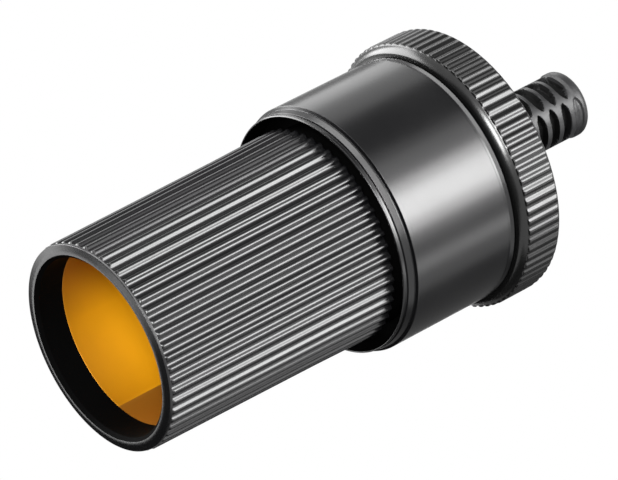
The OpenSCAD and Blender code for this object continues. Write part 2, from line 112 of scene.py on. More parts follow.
def newPiece(name, body, material, bm, sharpAngle=38):
    mesh = bpy.data.meshes.new(name)
    bmesh.ops.recalc_face_normals(bm, faces=bm.faces)
    bm.to_mesh(mesh)
    bm.free()
    mesh.shade_smooth()
    mesh.set_sharp_from_angle(angle=radians(sharpAngle))
    mesh.materials.append(material)
    piece = bpy.data.objects.new(name, mesh)
    scene.collection.objects.link(piece)
    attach(piece, body)
    return piece


def mattShadeFaces(piece, material, inMattShade):
    # faces with the duller, darker material, painted shade in recesses; the test takes (radius, height)
    piece.data.materials.append(material)
    for face in piece.data.polygons:
        middle = face.center * 1000
        if inMattShade(hypot(middle.x, middle.y), middle.z):
            face.material_index = 1


def revolve(profile, segments, relief=None, phase=0):
    # a closed outline turned about Z; relief(angle, radius, height) returns the radius there
    bm = bmesh.new()
    rings = []
    angles = [2 * pi * k / segments + phase for k in range(segments)]
    for r, z in profile:
        ring = []
        for angle in angles:
            radius = relief(angle, r, z) if relief else r
            ring.append(bm.verts.new((radius * cos(angle) / 1000, radius * sin(angle) / 1000, z / 1000)))
        rings.append(ring)
    for i, ring in enumerate(rings):
        following = rings[(i + 1) % len(rings)]
        for k in range(segments):
            n = (k + 1) % segments
            bm.faces.new((ring[k], ring[n], following[n], following[k]))
    return bm


def flatPlate(name, halfWidth, halfHeight, material):
    # a plain rectangle on its own XY plane
    bm = bmesh.new()
    corners = ((-1, -1), (1, -1), (1, 1), (-1, 1))
    bm.faces.new([bm.verts.new((x * halfWidth, y * halfHeight, 0)) for x, y in corners])
    mesh = bpy.data.meshes.new(name)
    bm.to_mesh(mesh)
    bm.free()
    mesh.materials.append(material)
    plate = bpy.data.objects.new(name, mesh)
    scene.collection.objects.link(plate)
    return plate


def softMin(a, b, softness):
    # the smaller of two values, with the meeting edge rounded
    gap = max(softness - abs(a - b), 0) / softness
    return min(a, b) - gap * gap * softness / 4


def smoothStep(low, high, value):
    t = min(1, max(0, (value - low) / (high - low)))
    return t * t * (3 - 2 * t)


def otherLeg(slant, leg):
    return max(slant * slant - leg * leg, 0) ** 0.5


def waveShape(offset, pitch, look):
    # a moulded wave of two arcs that meet on the flank: 0 on the crest, down to minus the full depth
    slope = radians(look["flankSlope"])
    both = pitch / 2 / sin(slope)
    crest = both * look["crestShare"]
    x = abs(offset)
    if x <= crest * sin(slope):
        return otherLeg(crest, x) - crest
    groove = both - crest
    return groove - otherLeg(groove, pitch / 2 - x) - both * (1 - cos(slope))


# materials
noiseLow, noiseHigh = 0.3, 0.7  # nearly all of a noise texture's values lie between these
reliefShare = 0.2  # depth of grain and marks, as a share of their size


def startMaterial(name, settings):
    material = bpy.data.materials.new(name)
    material.use_nodes = True
    tree = material.node_tree
    shader = tree.nodes["Principled BSDF"]
    for key, value in settings.items():
        shader.inputs[key].default_value = value
    return material, tree, shader


def feedShader(tree, shader, sources):
    # sources: shader input name -> output socket
    for key, source in sources.items():
        tree.links.new(source, shader.inputs[key])


def mouldedPlastic(name, look):
    # injection-moulded plastic: an even deep colour, with faint flow clouding in colour and gloss
    material, tree, shader = startMaterial(name, {
        "IOR": look["ior"], "Roughness": look["roughness"], "Specular IOR Level": look.get("specular", 0.5)})
    place = addNode(tree, "ShaderNodeTexCoord").outputs["Object"]
    cloud = addNode(tree, "ShaderNodeTexNoise", {"Scale": 1000 / look["cloudMm"], "Detail": 4},
                    {"Vector": place})
    grain = addNode(tree, "ShaderNodeTexNoise", {"Scale": 1000 / look["grainMm"], "Detail": 2},
                    {"Vector": place})
    colour = addNode(tree, "ShaderNodeMix", {"data_type": "RGBA"}, {"Factor": cloud.outputs["Fac"]})
    colour.inputs["A"].default_value = toLinear(look["dark"])
    colour.inputs["B"].default_value = toLinear(look["light"])
    rough = addNode(tree, "ShaderNodeMapRange", {
        "From Min": noiseLow, "From Max": noiseHigh,
        "To Min": look["roughness"] - look["roughnessSpread"],
        "To Max": look["roughness"] + look["roughnessSpread"],
    }, {"Value": cloud.outputs["Fac"]})
    bump = addNode(tree, "ShaderNodeBump", {
        "Strength": look["grainStrength"], "Distance": look["grainMm"] / 1000 * reliefShare,
    }, {"Height": grain.outputs["Fac"]})
    feedShader(tree, shader, {"Base Color": colour.outputs["Result"], "Roughness": rough.outputs["Result"],
                              "Normal": bump.outputs["Normal"]})
    return material


def workedMetal(name, look):
    # metal with fine marks left by drawing, pressing or plating, and a little tarnish
    material, tree, shader = startMaterial(name, {"Metallic": 1.0, "Roughness": look["roughness"]})
    place = addNode(tree, "ShaderNodeTexCoord").outputs["Object"]
    squeeze = addNode(tree, "ShaderNodeMapping", {"Scale": look["markStretch"]}, {"Vector": place})
    marks = addNode(tree, "ShaderNodeTexNoise", {"Scale": 1000 / look["markMm"], "Detail": 3},
                    {"Vector": squeeze.outputs["Vector"]})
    cloud = addNode(tree, "ShaderNodeTexNoise", {"Scale": 1000 / look["cloudMm"], "Detail": 3},
                    {"Vector": place})
    colour = addNode(tree, "ShaderNodeMix", {"data_type": "RGBA"}, {"Factor": cloud.outputs["Fac"]})
    colour.inputs["A"].default_value = toLinear(look["tarnished"])
    colour.inputs["B"].default_value = toLinear(look["clean"])
    rough = addNode(tree, "ShaderNodeMapRange", {
        "From Min": noiseLow, "From Max": noiseHigh,
        "To Min": look["roughness"] - look["roughnessSpread"],
        "To Max": look["roughness"] + look["roughnessSpread"],
    }, {"Value": marks.outputs["Fac"]})
    bump = addNode(tree, "ShaderNodeBump", {
        "Strength": look["markStrength"], "Distance": look["markMm"] / 1000 * reliefShare,
    }, {"Height": marks.outputs["Fac"]})
    feedShader(tree, shader, {"Base Color": colour.outputs["Result"], "Roughness": rough.outputs["Result"],
                              "Normal": bump.outputs["Normal"]})
    return material


# black ABS, gloss moulded: nearly black, with a clear but slightly soft reflection
blackAbs = mouldedPlastic("blackAbsGloss", dict(
    dark="#040405", light="#070708", ior=1.54, roughness=0.24, roughnessSpread=0.02,
    cloudMm=6, grainMm=0.25, grainStrength=0.05))
# the same ABS, darker and hardly reflecting inside the mouth and behind the collar's rim: painted shade in
# these recesses
recessShadeAbs = mouldedPlastic("blackAbsMattShade", dict(
    dark="#020202", light="#040404", ior=1.54, roughness=0.7, roughnessSpread=0.04, specular=0.02,
    cloudMm=3, grainMm=0.15, grainStrength=0.3))
# the same ABS on the knurled cap, a little duller where fingers grip it
capAbs = mouldedPlastic("blackAbsSatin", dict(
    dark="#050505", light="#080808", ior=1.54, roughness=0.25, roughnessSpread=0.03,
    cloudMm=4, grainMm=0.25, grainStrength=0.08))
# soft PVC of the bend relief: greyer and duller than ABS
softPvc = mouldedPlastic("softPvc", dict(
    dark="#121213", light="#1D1D1E", ior=1.5, roughness=0.4, roughnessSpread=0.04,
    cloudMm=3, grainMm=0.2, grainStrength=0.15))
# the same PVC inside the slots, dull and dark: painted shade in the slots
pvcShade = mouldedPlastic("softPvcShade", dict(
    dark="#030303", light="#060606", ior=1.5, roughness=0.6, roughnessSpread=0.05, specular=0.1,
    cloudMm=2, grainMm=0.2, grainStrength=0.2))
# phenolic moulding of the terminal base and bush: brown, mottled by its filler
phenolic = mouldedPlastic("phenolicMoulding", dict(
    dark="#3A1E0E", light="#5A3218", ior=1.6, roughness=0.35, roughnessSpread=0.05,
    cloudMm=0.8, grainMm=0.2, grainStrength=0.1))
# natural nylon of the collet: milky and waxy
nylon = mouldedPlastic("naturalNylon", dict(
    dark="#C9C6B8", light="#DAD7CA", ior=1.53, roughness=0.4, roughnessSpread=0.05,
    cloudMm=2, grainMm=0.2, grainStrength=0.1))
# nitrile rubber of the gasket: black and matt
nitrile = mouldedPlastic("nitrileRubber", dict(
    dark="#0E0E0E", light="#1A1A1A", ior=1.52, roughness=0.6, roughnessSpread=0.05,
    cloudMm=1, grainMm=0.15, grainStrength=0.3))
# vulcanised fibre of the thrust washer: red-brown board with a fibrous cut
fibreBoard = mouldedPlastic("vulcanisedFibre", dict(
    dark="#5A2015", light="#7C3322", ior=1.5, roughness=0.55, roughnessSpread=0.06,
    cloudMm=0.5, grainMm=0.15, grainStrength=0.4))
# pressed brass of the terminals and centre contact: yellow and softly brushed
terminalBrass = workedMetal("pressedBrass", dict(
    tarnished="#B98F3E", clean="#D9B25C", roughness=0.28, roughnessSpread=0.05,
    markMm=0.12, markStretch=(1, 12, 12), markStrength=0.15, cloudMm=2.5))
# nickel-plated steel of screws, washer, nut and clamps: pale grey and bright
nickelPlate = workedMetal("nickelPlatedSteel", dict(
    tarnished="#9E9C96", clean="#C6C4BE", roughness=0.22, roughnessSpread=0.05,
    markMm=0.15, markStretch=(1, 1, 1), markStrength=0.1, cloudMm=1.5))
# bare brass of the rolled sleeve: deep amber, with painted shade that darkens it towards the mouth, beyond
# the seam and to one side;
# its dull film scatters light, so it is only half metallic
sleeveLook = dict(
    clean="#FBAE0A", mouthShade="#BC7A0A", seamAndSideShade="#9A6217", metallic=0.5, roughness=0.5,
    cloudMm=5.56, cloudShare=0.25, markMm=0.3, markStretch=(6, 6, 0.6), markStrength=0.1,
    seamAngle=51.5, seamBlend=0.5, sideShadeFrom=112, sideShadeTo=150, mouthShadeDepthMm=8.0,
)


def sleeveMetal(look):
    material, tree, shader = startMaterial("drawnBrassSleeve", {
        "Metallic": look["metallic"], "Roughness": look["roughness"]})
    place = addNode(tree, "ShaderNodeTexCoord").outputs["Object"]
    axes = addNode(tree, "ShaderNodeSeparateXYZ", None, {"Vector": place})
    around = addNode(tree, "ShaderNodeMath", {"operation": "ARCTAN2"},
                     {0: axes.outputs["Y"], 1: axes.outputs["X"]})
    cloud = addNode(tree, "ShaderNodeTexNoise", {"Scale": 1000 / look["cloudMm"], "Detail": 3},
                    {"Vector": place})
    sleeveFront = heightsOf("contact_sleeve")[0]
    # painted shade: the brass darkens towards the mouth, with random mottle where it fades
    depth = addNode(tree, "ShaderNodeMapRange", {
        "From Min": sleeveFront / 1000, "From Max": (sleeveFront + look["mouthShadeDepthMm"]) / 1000,
    }, {"Value": axes.outputs["Z"]})
    # painted shade: darker beyond the seam and on one side of the bore
    beyondSeam = addNode(tree, "ShaderNodeMapRange", {
        "From Min": radians(look["seamAngle"] - look["seamBlend"]), "From Max": radians(look["seamAngle"]),
        "To Min": 1.0, "To Max": 0.0,
    }, {"Value": around.outputs["Value"]})
    toSide = addNode(tree, "ShaderNodeMapRange", {
        "From Min": radians(look["sideShadeFrom"]), "From Max": radians(look["sideShadeTo"]),
    }, {"Value": around.outputs["Value"]})
    shadeMask = addNode(tree, "ShaderNodeMath", {"operation": "MAXIMUM"},
                    {0: beyondSeam.outputs["Result"], 1: toSide.outputs["Result"]})
    mottleAndDepth = addNode(tree, "ShaderNodeMath", {"operation": "MULTIPLY_ADD", 1: look["cloudShare"]},
                     {0: cloud.outputs["Fac"], 2: depth.outputs["Result"]})
    shadedBrass = addNode(tree, "ShaderNodeMix", {"data_type": "RGBA"}, {"Factor": mottleAndDepth.outputs["Value"]})
    shadedBrass.inputs["A"].default_value = toLinear(look["mouthShade"])
    shadedBrass.inputs["B"].default_value = toLinear(look["clean"])
    colour = addNode(tree, "ShaderNodeMix", {"data_type": "RGBA"},
                     {"Factor": shadeMask.outputs["Value"], "A": shadedBrass.outputs["Result"]})
    colour.inputs["B"].default_value = toLinear(look["seamAndSideShade"])
    drawn = addNode(tree, "ShaderNodeMapping", {"Scale": look["markStretch"]}, {"Vector": place})
    marks = addNode(tree, "ShaderNodeTexNoise", {"Scale": 1000 / look["markMm"], "Detail": 2},
                    {"Vector": drawn.outputs["Vector"]})
    bump = addNode(tree, "ShaderNodeBump", {
        "Strength": look["markStrength"], "Distance": look["markMm"] / 1000 * reliefShare,
    }, {"Height": marks.outputs["Fac"]})
    feedShader(tree, shader, {"Base Color": colour.outputs["Result"], "Normal": bump.outputs["Normal"]})
    return material


sleeveBrass = sleeveMetal(sleeveLook)

nodeFinish = {
    "contact_bush": phenolic, "terminal_base": phenolic,
    "base_screws": nickelPlate, "stud_washer": nickelPlate, "stud_nut": nickelPlate,
    "positive_clamp": nickelPlate, "negative_clamp": nickelPlate,
    "positive_screw": nickelPlate, "negative_screw": nickelPlate,
    "centre_contact": terminalBrass, "positive_terminal": terminalBrass,
    "negative_terminal": terminalBrass, "negative_rivet": terminalBrass,
    "gland_plate": capAbs, "grip_collet": nylon, "cap_gasket": nitrile, "thrust_washer": fibreBoard,
}
for nodeName, finish in nodeFinish.items():
    nodes[nodeName].data.materials.clear()
    nodes[nodeName].data.materials.append(finish)
print("materials made")

# the pieces
tolerance = 0.01  # lengths that differ by less than this count as the same

# ribbed barrel
barrel = dict(
    lipBore=10.53, mouthChamfer=0.38, ridgeRadius=11.05, ridgeLead=0.1, ridgeSpan=0.4, ridgeSteps=5,
    lipSlope=10, lipRadius=12.16, lipRound=0.06, lipArcFrom=-72, sideSlope=16, sideFlat=0.06,
    crestRadius=12.27, ribCount=56, ribTurn=1.2, crestShare=0.45, flankSlope=58, pointsPerRib=16,
    ribStart=0.45, ribEnd=31.4, ribStep=0.04, endSpan=0.9, endSlope=1.0, rearSlope=5.0,
    endSink=0.1, endSoftness=0.08, flareFrom=29.7, flare=5.0, draft=0.55,
    bore=10.95, tailRadius=12.0, mattShadeInset=0.12,
)


def barrelLip(look, sleeveFront):
    # from the bore over a rounded ridge: the face slopes back to a corner below the sloping side
    slope, sideSlope = tan(radians(look["lipSlope"])), radians(look["sideSlope"])
    ridge, span, rounding = look["ridgeRadius"], look["ridgeSpan"], look["lipRound"]
    lip = roundedProfile([
        (look["lipBore"], sleeveFront, 0, 2), (look["lipBore"], look["mouthChamfer"], 0.05),
        (ridge - look["ridgeLead"], 0, 0.06), (ridge, 0),
    ])[:-1]
    for k in range(look["ridgeSteps"] + 1):
        x = span * k / look["ridgeSteps"]
        lip.append((ridge + x, slope * x * x / span / 2))
    cornerHeight = slope * (look["lipRadius"] - ridge - span / 2) + rounding
    rise = look["ribStart"] - look["sideFlat"] - cornerHeight + rounding * sin(sideSlope)
    cornerRadius = look["lipRadius"] - rise * tan(sideSlope) - rounding * cos(sideSlope)
    lip.append((cornerRadius, cornerHeight - rounding))
    return lip + arcPoints((cornerRadius, cornerHeight), rounding, rounding, look["lipArcFrom"],
                           -look["sideSlope"], 5)


def buildBarrel(look):
    high = heightsOf("front_barrel")[1]
    sleeveFront = heightsOf("contact_sleeve")[0]
    start, end, step, span = look["ribStart"], look["ribEnd"], look["ribStep"], look["endSpan"]
    onRibs = 14  # a radius that stands for "on the ribs" until the relief gives the real one
    profile = barrelLip(look, sleeveFront)
    profile += roundedProfile([
        (look["lipRadius"], start - look["sideFlat"]), (look["lipRadius"], start, 0, 1),
        (onRibs, start + step, 0, 10), (onRibs, start + span, 0, 4),
        (onRibs, end - span, 0, 10), (onRibs, end - step, 0, 1),
        (look["tailRadius"], end, 0.03), (look["tailRadius"], high, 0.2),
        (look["bore"], high, 0.1), (look["bore"], sleeveFront, 0.05),
    ])
    pitch = 2 * pi * look["crestRadius"] / look["ribCount"]

    def relief(angle, r, z):
        if r < onRibs:
            return r
        turn = (angle - radians(look["ribTurn"])) / (2 * pi / look["ribCount"])
        crest = look["crestRadius"] + (z - start) * tan(radians(look["draft"]))
        crest += max(0, z - look["flareFrom"]) * tan(radians(look["flare"]))  # run-out towards the collar
        rib = crest + waveShape((turn - round(turn)) * pitch, pitch, look)
        front = look["lipRadius"] - look["endSink"] + (z - start) * look["endSlope"]
        rear = look["tailRadius"] + look["endSink"] + (end - z) * look["rearSlope"]
        return softMin(rib, min(front, rear), look["endSoftness"])

    def inMattShade(r, z):
        # painted shade: the snap tail behind the ribs, and the mouth up to the ridge
        return z > end or z < sleeveFront and r < look["ridgeRadius"] - look["mattShadeInset"]

    bm = revolve(profile, look["ribCount"] * look["pointsPerRib"], relief, radians(look["ribTurn"]))
    piece = newPiece("ribbedBarrel", "housing", blackAbs, bm)
    mattShadeFaces(piece, recessShadeAbs, inMattShade)
    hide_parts("front_barrel")
    print("barrel:", len(piece.data.polygons), "faces")


buildBarrel(barrel)

# thread between housing and cap: right-hand, one turn for each pitch
threadLook = dict(pitch=1.5, depth=0.62, crestShare=0.26, innerShare=0.94)


def threadDepth(angle, z, look):
    # 0 at the crest of the housing's thread, the full depth at its root
    place = z / look["pitch"] - angle / (2 * pi)
    offset = abs(place - round(place)) * 2
    flank = (1 - offset - (1 - look["crestShare"]) / 2) / (1 - look["crestShare"]) + 0.5
    return look["depth"] * (1 - min(1, max(0, flank)))


# rear housing: collar, shoulder and the threaded spigot under the cap
housing = dict(
    sideRadius=14.72, sideMiddle=43.9, rimBore=14.0, rimRound=0.1, gapDepth=3.2, slant=0.08,
    faceRadius=14.12, beadRadius=14.22, beadAt=0.24, grooveRadius=14.05,
    coneFrom=0.7, coneTo=1.36, coneStart=14.24, coneRadius=14.41, stepFloor=14.35, rimStep=1.7,
    rearGroove=46.32, grooveLead=0.4, grooveSlant=0.06, rearFloor=14.52,
    rearBand=46.73, rearRadius=14.66, rearEnd=47.21, rearChamfer=0.04, rearFace=0.3,
    spigotRadius=13.6, spigotFillet=0.05, seatRadius=12.3, seatHeight=48.0,
    threadInset=0.12, threadOutset=0.25, threadStart=0.5, threadStop=0.3, threadRings=52,
    chamberRadius=11.8, ledgeRadius=8.8, ledgeBack=40.4, tailEnd=38.9, tailSeat=12.05,
    snapHeight=36.45, snap=0.2, segments=240,
)


def housingRim(look, front):
    # from the bore outwards: bead, fine groove, shallow cone, then a step up to the side
    rounding, slant, side = look["rimRound"], look["slant"], look["sideRadius"]
    bead, coneFrom, coneTo = front + look["beadAt"], front + look["coneFrom"], front + look["coneTo"]
    rim = arcPoints((look["rimBore"] + rounding, front + rounding), rounding, rounding, 180, 270, 6)
    return rim + roundedProfile([
        (look["faceRadius"], front), (look["beadRadius"], front + slant, 0.08),
        (look["beadRadius"], bead, 0.06), (look["grooveRadius"], bead + slant, 0.03),
        (look["grooveRadius"], coneFrom - slant, 0.02), (look["coneStart"], coneFrom, 0.04),
        (look["coneRadius"], coneTo, 0.03), (look["stepFloor"], coneTo + slant / 2, 0.02),
        (look["stepFloor"], front + look["rimStep"] - 2 * slant, 0.02),
        (side, front + look["rimStep"], 0.05), (side, look["sideMiddle"]),
    ])


def buildHousing(look):
    front, end = heightsOf("rear_housing")
    side, spigot, rearEnd = look["sideRadius"], look["spigotRadius"], look["rearEnd"]
    threadFrom, threadTo = rearEnd + look["threadInset"], end - look["threadOutset"]
    profile = housingRim(look, front)
    profile += roundedProfile([
        (side, look["rearGroove"] - look["grooveLead"]), (side, look["rearGroove"], 0.06),
        (look["rearFloor"], look["rearGroove"] + look["grooveSlant"], 0.03),
        (look["rearFloor"], look["rearBand"], 0.03),
        (look["rearRadius"], rearEnd - look["rearChamfer"], 0.04),
        (look["rearRadius"] - look["rearFace"], rearEnd),
    ])
    profile += [(spigot + look["spigotFillet"], rearEnd), (spigot, rearEnd + look["spigotFillet"])]
    rings = look["threadRings"]
    profile += [(spigot, threadFrom + (threadTo - threadFrom) * k / rings) for k in range(rings + 1)]
    gapEnd, tailSeat, snapHeight = front + look["gapDepth"], look["tailSeat"], look["snapHeight"]
    profile += roundedProfile([
        (spigot, end, 0.15), (look["seatRadius"], end, 0.08), (look["seatRadius"], look["seatHeight"]),
        (look["chamberRadius"], look["seatHeight"], 0.08), (look["chamberRadius"], look["ledgeBack"], 0.1),
        (look["ledgeRadius"], look["ledgeBack"], 0.1), (look["ledgeRadius"], look["tailEnd"], 0.08),
        (tailSeat, look["tailEnd"], 0.02), (tailSeat, snapHeight + 2 * look["snap"]),
        (tailSeat + look["snap"], snapHeight), (tailSeat, snapHeight - look["snap"]),
        (tailSeat, gapEnd, 0.1), (look["rimBore"], gapEnd, 0.3),
    ])

    def relief(angle, r, z):
        onThread = abs(r - spigot) < tolerance and threadFrom - tolerance < z < threadTo + tolerance
        if not onThread:
            return r
        runOut = smoothStep(threadFrom, threadFrom + look["threadStart"], z)
        runOut *= smoothStep(threadTo, threadTo - look["threadStop"], z)
        return r - threadDepth(angle, z, threadLook) * runOut

    def inMattShade(r, z):
        # painted shade: the wall of the gap around the ribs
        margin = look["rimRound"]
        return front + margin < z < gapEnd + margin and r < look["rimBore"] + 2 * tolerance

    bm = revolve(profile, look["segments"], relief)
    piece = newPiece("collarHousing", "housing", blackAbs, bm)
    mattShadeFaces(piece, recessShadeAbs, inMattShade)
    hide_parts("rear_housing")
    print("rear housing:", len(piece.data.polygons), "faces")


buildHousing(housing)

# contact sleeve: brass sheet rolled into a cup, its seam on the lower side of the bore
sleeve = dict(
    bore=10.5, wall=0.4, edgeRound=0.06, cornerWidth=1.6, cornerHeight=2.9, floorFront=38.0, floorBack=38.5,
    hubHole=3.05, seamAngle=sleeveLook["seamAngle"], seamDepth=0.12, seamStep=1.2, seamFade=30, seamEnd=60,
    segments=256,
)


def buildSleeve(look):
    low = heightsOf("contact_sleeve")[0]
    bore, outside, edge = look["bore"], look["bore"] + look["wall"], look["edgeRound"]
    floorFront, floorBack = look["floorFront"], look["floorBack"]
    straight = floorFront - look["cornerHeight"]
    centre = (bore - look["cornerWidth"], straight)
    profile = [(bore + edge, low), (outside - edge, low), (outside, low + edge)]
    profile += [(outside, low + (straight - low) * k / 6) for k in range(1, 6)]
    profile += arcPoints(centre, outside - centre[0], floorBack - straight, 0, 90, 8)
    profile += [(look["hubHole"], floorBack), (look["hubHole"], floorFront)]
    profile += arcPoints(centre, look["cornerWidth"], look["cornerHeight"], 90, 0, 8)
    profile += [(bore, straight + (low - straight) * k / 8) for k in range(1, 8)] + [(bore, low + edge)]

    def relief(angle, r, z):
        # the lapped edge: the sheet steps down at the seam and comes back to the bore slowly
        if z > straight + tolerance or abs(r - bore) > edge + tolerance:
            return r
        turn = (look["seamAngle"] - degrees(angle) + 180) % 360 - 180
        if turn < 0 or turn > look["seamEnd"]:
            return r
        step = smoothStep(0, look["seamStep"], turn) * smoothStep(look["seamEnd"], look["seamFade"], turn)
        return r + look["seamDepth"] * step

    bm = revolve(profile, look["segments"], relief)
    piece = newPiece("rolledSleeve", "housing", sleeveBrass, bm)
    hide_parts("contact_sleeve")
    print("contact sleeve:", len(piece.data.polygons), "faces")


buildSleeve(sleeve)

# screw cap with its knurled grip and the thread inside
screwCap = dict(
    bore=13.68, boreChamfer=0.2, frontFace=0.6, front=47.33,
    shoulderFrom=56, shoulderTo=26, shoulderSteps=10, shoulderInset=0.03, shoulderDrop=0.05,
    rootRadius=15.78, gripRadius=16.05, knurlFront=48.13, knurlRear=52.85, knurlLead=0.35, rearRound=0.5,
    knurlCount=81, knurlTurn=-0.3, crestShare=0.5, flankSlope=36, pointsPerRib=10,
    frontChamfer=0.14, chamferRings=(0.02, 0.1, 0.2),
    faceRadius=12.2, faceRise=0.35, collarRadius=6.2, collarHeight=0.8, hole=4.15, ceiling=52.01,
    threadInset=0.35, threadOutset=0.3, threadStart=0.3, threadStop=0.4, threadRings=40,
)


def capShoulder(look):
    # smooth shoulder: a crowned cone that steepens towards the knurl
    steps, front = look["shoulderSteps"], look["front"]
    spread = look["shoulderTo"] - look["shoulderFrom"]
    turns = [radians(look["shoulderFrom"] + spread * k / steps) for k in range(steps + 1)]
    rise = look["knurlFront"] - look["shoulderDrop"] - front
    crown = rise / (sin(turns[0]) - sin(turns[-1]))
    reach = look["rootRadius"] - look["shoulderInset"] - crown * cos(turns[-1])
    return [(reach + crown * cos(t), front + crown * (sin(turns[0]) - sin(t))) for t in turns]


def buildCap(look):
    top = heightsOf("cap_nut")[1]
    bore, front, ceiling = look["bore"], look["front"], look["ceiling"]
    root, grip, rounding = look["rootRadius"], look["gripRadius"], look["rearRound"]
    knurlFront, knurlRear = look["knurlFront"], look["knurlRear"]
    gripStart, gripEnd = knurlFront + look["knurlLead"], knurlRear - rounding
    profile = [(bore + look["boreChamfer"], front), (bore + look["frontFace"], front)]
    profile += capShoulder(look) + [(root, knurlFront)]
    profile += [(grip, knurlFront + rise) for rise in look["chamferRings"]]
    profile += [(grip, gripStart + (gripEnd - gripStart) * k / 8) for k in range(8)]
    profile += arcPoints((grip - rounding, gripEnd), rounding, rounding, 0, 85, 8)
    collar, hole = look["collarRadius"], look["hole"]
    profile += roundedProfile([
        (look["faceRadius"], knurlRear + look["faceRise"]), (collar, top - look["collarHeight"], 0.5),
        (collar, top, 0.3), (hole, top, 0.2), (hole, ceiling, 0.15), (bore, ceiling, 0.1),
    ])
    rings = look["threadRings"]
    threadFrom, threadTo = ceiling - look["threadInset"], front + look["threadOutset"]
    profile += [(bore, threadFrom + (threadTo - threadFrom) * k / rings) for k in range(rings + 1)]
    pitch = 2 * pi / look["knurlCount"]

    def innerThread(angle, r, z):
        # the same helix as on the housing, so its crests stand in the housing's roots
        if z > threadFrom + tolerance or z < threadTo - tolerance:
            return r
        runOut = smoothStep(threadFrom, threadFrom - look["threadStart"], z)
        runOut *= smoothStep(threadTo, threadTo + look["threadStop"], z)
        return r - threadDepth(angle, z, threadLook) * threadLook["innerShare"] * runOut

    def relief(angle, r, z):
        if abs(r - bore) < tolerance:
            return innerThread(angle, r, z)
        if r < root + tolerance or z < knurlFront + tolerance:
            return r
        turn = (angle - radians(look["knurlTurn"])) / pitch
        wave = waveShape((turn - round(turn)) * pitch * grip, pitch * grip, look)
        frontEnd = smoothStep(knurlFront, knurlFront + look["frontChamfer"], z)
        return min(r, root + (grip - root) * frontEnd, grip + wave)

    bm = revolve(profile, look["knurlCount"] * look["pointsPerRib"], relief, radians(look["knurlTurn"]))
    piece = newPiece("knurledCap", "cap", capAbs, bm)
    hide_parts("cap_nut")
    print("screw cap:", len(piece.data.polygons), "faces")


buildCap(screwCap)

# cable boot: a soft tube with rows of lens-shaped slots that let it bend
boot = dict(
    bore=2.75, mouthFace=0.35, mouthInset=0.1, mouthDrop=0.08, mouthDepth=0.3,
    flangeRadius=9.0, flangeHeight=1.15, flangeRound=0.15, flangeFillet=0.2,
    capTop=54.33, tubeStart=54.73, neck=4.0, neckEnd=55.23, waist=3.8, waistStart=56.73,
    ring=3.95, ringStart=67.8, ringRise=0.5, endRound=0.7,
    slotsFrom=54.83, lastSlot=67.55, slotRows=7, slotPitch=1.84, slotWidth=1.3, frontShare=0.84,
    slotReach=43.5, slotPower=4.5, slotTurn=-3.0, slotFloor=0.3, edgeInside=0.09, edgeOutside=0.06,
    endSlotFrom=66.95, endSlotDepth=0.27, mattShadeDepth=0.12, mattShadeEndDepth=0.4,
    lean=0.5, leanFrom=53.5, leanTo=62.0, segments=180, ringStep=0.07,
)


def slotDepth(angle, z, look):
    # 0 on the rings and webs, 1 in the middle of a slot; the slots stand in four columns
    depth = 0
    for column in range(4):
        staggered = column % 2
        middle = radians(-90 + (column + 0.5) * 90 + look["slotTurn"])
        turn = (angle - middle + pi) % (2 * pi) - pi
        across = degrees(turn) / look["slotReach"]
        if abs(across) >= 1:
            continue
        width = look["slotWidth"] if staggered else look["slotWidth"] * look["frontShare"]
        halfWidth = width / 2 * (1 - abs(across) ** look["slotPower"])
        row = (look["lastSlot"] - z) / look["slotPitch"] - staggered / 2
        nearest = min(look["slotRows"] - 1, max(0, round(row)))
        offset = abs(row - nearest) * look["slotPitch"]
        full = look["endSlotDepth"] if nearest == 0 and not staggered else 1
        edge = smoothStep(halfWidth - look["edgeInside"], halfWidth + look["edgeOutside"], offset)
        depth = max(depth, full * (1 - edge))
    return depth


def buildBoot(look):
    start, end = heightsOf("strain_relief_boot")
    bore, neck, ring, rounding = look["bore"], look["neck"], look["ring"], look["endRound"]
    flange, flangeRound, capTop = look["flangeRadius"], look["flangeRound"], look["capTop"]
    flangeTop = start + look["flangeHeight"]
    outer = [(neck, flangeTop + look["flangeFillet"] / 2), (neck, capTop + 0.3)]
    for k in range(int((end - rounding - look["tubeStart"]) / look["ringStep"]) + 1):
        z = look["tubeStart"] + k * look["ringStep"]
        taper = smoothStep(look["neckEnd"], look["waistStart"], z)
        swell = smoothStep(look["ringStart"] - look["ringRise"], look["ringStart"], z)
        outer.append((neck + (look["waist"] - neck) * taper + (ring - look["waist"]) * swell, z))
    outer += arcPoints((ring - rounding, end - rounding), rounding, rounding, 0, 90, 8)
    profile = [(bore, start), (flange - flangeRound, start), (flange, start + flangeRound),
               (flange, flangeTop - flangeRound), (flange - flangeRound, flangeTop)]
    profile += [(neck + look["flangeFillet"], flangeTop)] + outer
    boreEnd = end - look["mouthDepth"]
    profile += [(bore + look["mouthFace"], end), (bore + look["mouthInset"], end - look["mouthDrop"])]
    profile += [(bore, boreEnd)]
    profile += [(bore, boreEnd + (start - boreEnd) * k / 12) for k in range(1, 12)]

    def relief(angle, r, z):
        if r < bore + look["mouthFace"] + tolerance or z < look["slotsFrom"]:
            return r
        return r + (bore + look["slotFloor"] - r) * slotDepth(angle, z, look)

    def inMattShade(r, z):
        # painted shade inside the slots; the shallow last slot gets it only at its floor
        depth = look["mattShadeDepth"] if z < look["endSlotFrom"] else look["mattShadeEndDepth"]
        return z > look["neckEnd"] and bore + 0.05 < r < look["waist"] - depth

    bm = revolve(profile, look["segments"], relief)
    piece = newPiece("slottedBoot", "strain_relief", softPvc, bm, sharpAngle=50)
    mattShadeFaces(piece, pvcShade, inMattShade)
    for vertex in piece.data.vertices:  # the soft tube leans a little to one side
        vertex.co.x -= look["lean"] / 1000 * smoothStep(look["leanFrom"], look["leanTo"], vertex.co.z * 1000)
    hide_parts("strain_relief_boot")
    print("boot:", len(piece.data.polygons), "faces")


buildBoot(boot)

# light: a tall soft key beside the lens, a wide soft lamp from behind, a thin edge lamp, dark cards
lookAt = Vector((0, 0, 0.04))
